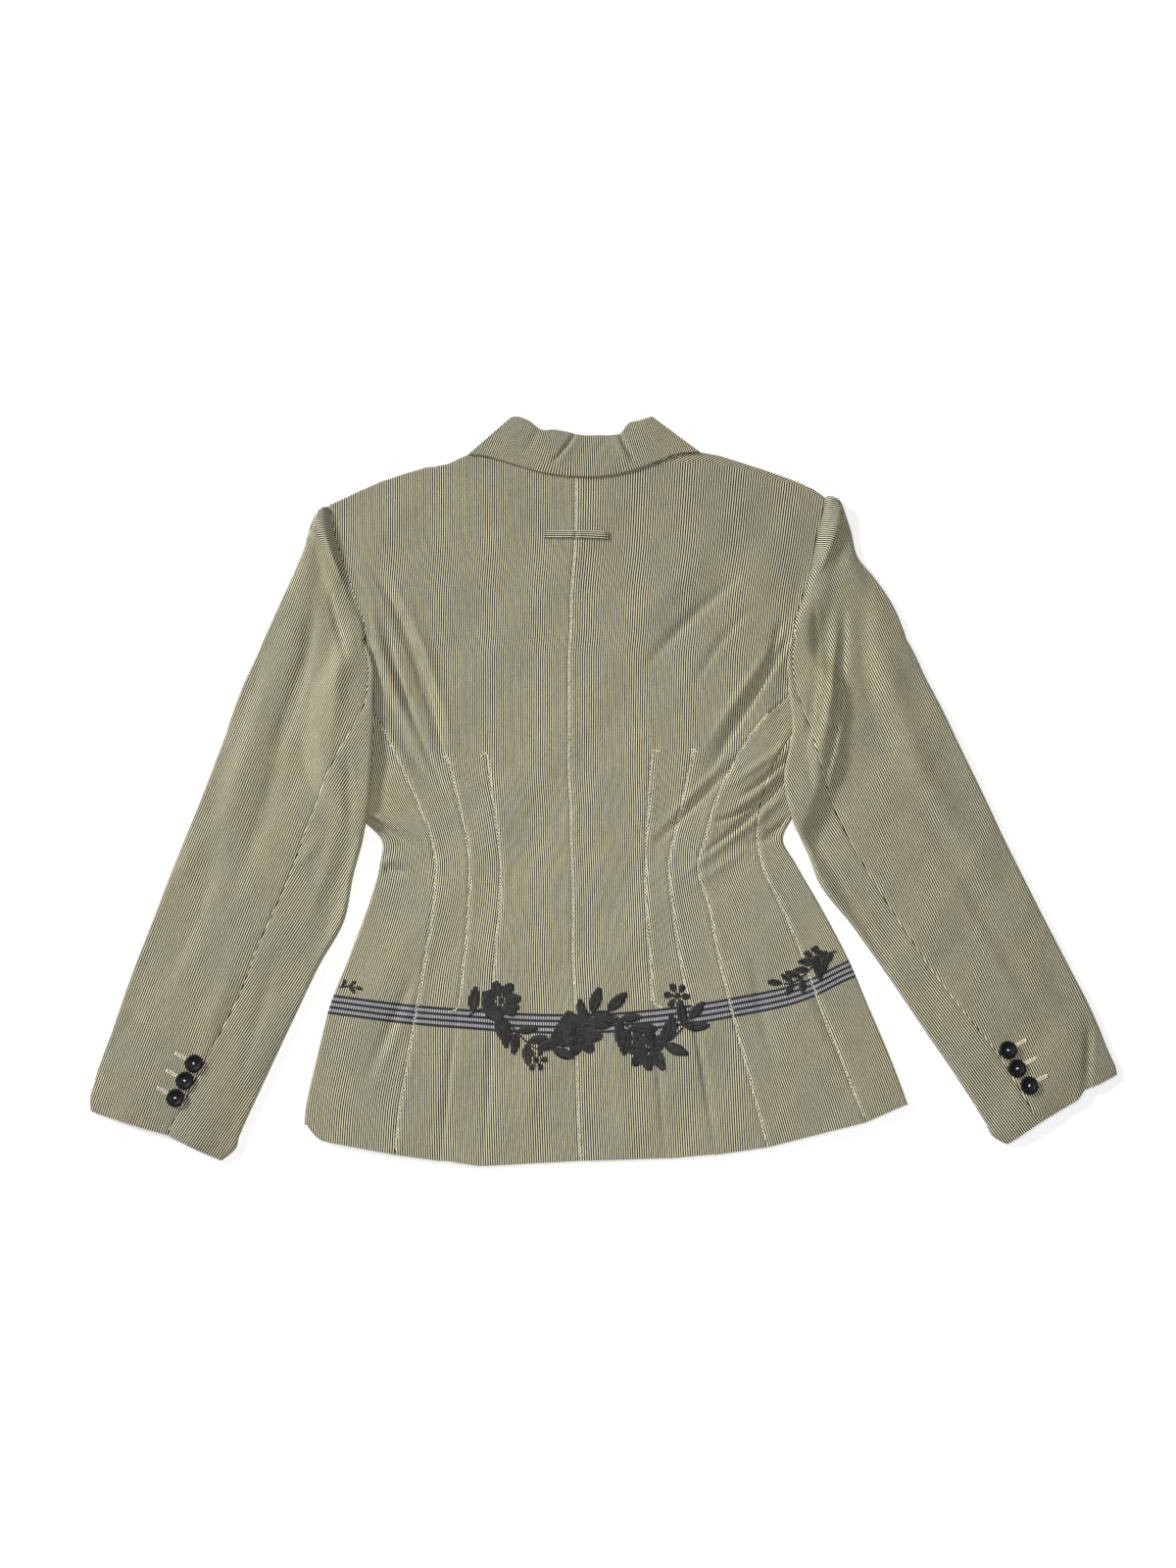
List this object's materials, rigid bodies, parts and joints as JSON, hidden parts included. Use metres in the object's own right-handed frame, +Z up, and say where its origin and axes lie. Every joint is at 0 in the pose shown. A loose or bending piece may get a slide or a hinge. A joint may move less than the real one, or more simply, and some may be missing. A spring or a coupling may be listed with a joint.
{
  "type": "pinstripe blazer",
  "caption": "Tailored blazer in fine striped cloth, laid flat with its back up: darted back, turned collar, two-piece sleeves with buttoned cuffs.",
  "frame": {"origin": "on the floor side of the right front, under the centre back seam at the waist", "axes": "+X towards the wearer's right sleeve, +Y from the hem to the collar, +Z up, away from the surface that the blazer lies on"},
  "size_m": [0.859, 0.654, 0.0164],
  "materials": {
    "pinstripe_cloth": "matte",
    "cuff_button": "matte"
  },
  "bodies": {
    "root": {"back_left": "pinstripe_cloth", "back_right": "pinstripe_cloth", "side_back_left": "pinstripe_cloth", "side_back_right": "pinstripe_cloth", "front_left": "pinstripe_cloth", "front_right": "pinstripe_cloth", "lapel_left": "pinstripe_cloth", "lapel_right": "pinstripe_cloth", "collar_fall": "pinstripe_cloth", "collar_stand": "pinstripe_cloth", "top_sleeve_left": "pinstripe_cloth", "top_sleeve_right": "pinstripe_cloth", "under_sleeve_left": "pinstripe_cloth", "under_sleeve_right": "pinstripe_cloth", "hanger_tab": "pinstripe_cloth", "cuff_button_left_1": "cuff_button", "cuff_button_left_2": "cuff_button", "cuff_button_left_3": "cuff_button", "cuff_button_right_1": "cuff_button", "cuff_button_right_2": "cuff_button", "cuff_button_right_3": "cuff_button"}
  },
  "joints": []
}
